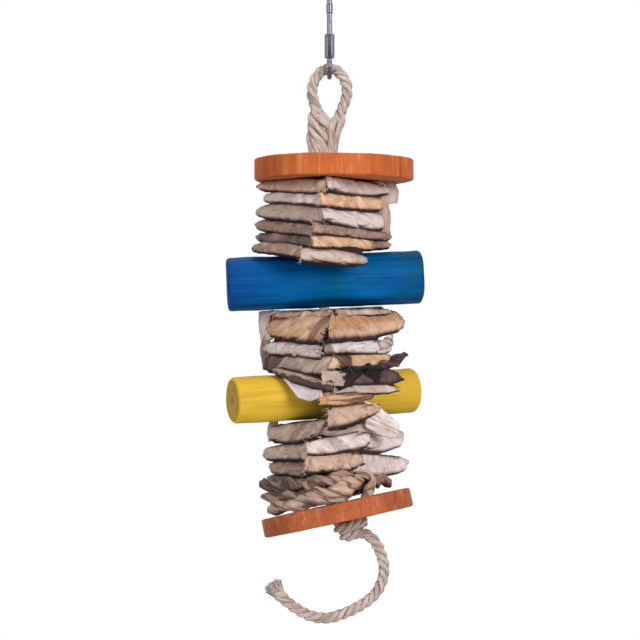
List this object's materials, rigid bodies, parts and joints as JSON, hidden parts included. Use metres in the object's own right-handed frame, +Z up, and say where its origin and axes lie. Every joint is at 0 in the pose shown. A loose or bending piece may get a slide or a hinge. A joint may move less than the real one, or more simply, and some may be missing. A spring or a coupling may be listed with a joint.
{
  "type": "hanging wooden parrot toy",
  "caption": "Hanging chew toy: painted wood discs and logs strung on sisal rope between bundles of folded palm leaf, with a snap hook at the top and a loose rope tail.",
  "frame": {"origin": "inside top of the snap hook, where it hangs on a ring or bar", "axes": "+Z up, +X to the right seen from the front, +Y away from the front"},
  "size_m": [0.1324, 0.1086, 0.422],
  "materials": {
    "chrome": "bright plated steel wire",
    "sisal": "natural three-strand sisal rope",
    "orange_wood": "orange stained wood, satin",
    "blue_wood": "streaky blue stained wood, satin",
    "yellow_wood": "yellow stained wood, satin",
    "leaf_tan": "dried palm leaf, tan",
    "leaf_pale": "dried palm leaf, pale grey",
    "leaf_brown": "dried palm leaf, brown"
  },
  "bodies": {
    "hook": {"hook_body": "chrome", "gate_pin": "chrome"},
    "gate": {"hook_gate": "chrome", "gate_spring": "chrome"},
    "sleeve": {"lock_sleeve": "chrome"},
    "rope": {"rope_eye": "sisal", "rope_neck": "sisal", "rope_core": "sisal", "stopper_knot": "sisal", "rope_tail": "sisal", "upper_leaf_left_1": "leaf_tan", "upper_leaf_right_1": "leaf_pale", "upper_leaf_left_2": "leaf_pale", "upper_leaf_right_2": "leaf_tan", "upper_leaf_left_3": "leaf_tan", "upper_leaf_right_3": "leaf_pale", "upper_leaf_left_4": "leaf_brown", "upper_leaf_right_4": "leaf_brown", "upper_leaf_left_5": "leaf_brown", "upper_leaf_right_5": "leaf_tan", "upper_leaf_left_6": "leaf_brown", "upper_leaf_right_6": "leaf_tan", "middle_leaf_left_1": "leaf_tan", "middle_leaf_right_1": "leaf_tan", "middle_leaf_left_2": "leaf_pale", "middle_leaf_right_2": "leaf_pale", "middle_leaf_left_3": "leaf_tan", "middle_leaf_right_3": "leaf_brown", "middle_leaf_left_4": "leaf_brown", "middle_leaf_right_4": "leaf_brown", "middle_leaf_left_5": "leaf_pale", "middle_leaf_right_5": "leaf_tan", "lower_leaf_left_1": "leaf_pale", "lower_leaf_right_1": "leaf_pale", "lower_leaf_left_2": "leaf_tan", "lower_leaf_right_2": "leaf_pale", "lower_leaf_left_3": "leaf_brown", "lower_leaf_right_3": "leaf_pale", "lower_leaf_left_4": "leaf_brown", "lower_leaf_right_4": "leaf_tan", "lower_leaf_left_5": "leaf_tan", "lower_leaf_right_5": "leaf_tan"},
    "top_disc": {"top_disc": "orange_wood"},
    "blue_log": {"blue_log": "blue_wood"},
    "yellow_log": {"yellow_log": "yellow_wood"},
    "bottom_disc": {"bottom_disc": "orange_wood"}
  },
  "joints": [
    {"name": "gate_hinge", "type": "hinge", "parent": "hook", "child": "gate", "pos_m": [0, -0.00825, -0.047], "axis": [-1, 0, 0], "range_deg": [0, 20], "stiffness_Nm_per_rad": 0.01},
    {"name": "sleeve_slide", "type": "slide", "parent": "gate", "child": "sleeve", "axis": [0, 0, 1], "range_m": [0, 0.013]},
    {"name": "toy_swing", "type": "hinge", "parent": "hook", "child": "rope", "pos_m": [0, 0, -0.05575], "axis": [0, 1, 0], "range_deg": [-40, 40]},
    {"name": "top_disc_turn", "type": "hinge", "parent": "rope", "child": "top_disc", "pos_m": [-0.0034, 0, -0.11805], "axis": [0, 0, 1], "continuous": true},
    {"name": "blue_log_turn", "type": "hinge", "parent": "rope", "child": "blue_log", "pos_m": [-0.0034, 0, -0.19165], "axis": [0, 0, 1], "range_deg": [-25, 25]},
    {"name": "yellow_log_turn", "type": "hinge", "parent": "rope", "child": "yellow_log", "pos_m": [-0.0034, 0, -0.26805], "axis": [0, 0, 1], "range_deg": [-45, 8]},
    {"name": "bottom_disc_turn", "type": "hinge", "parent": "rope", "child": "bottom_disc", "pos_m": [0.00986, -0.00657, -0.34437], "axis": [-0.2118, 0.1049, 0.9717], "continuous": true}
  ]
}
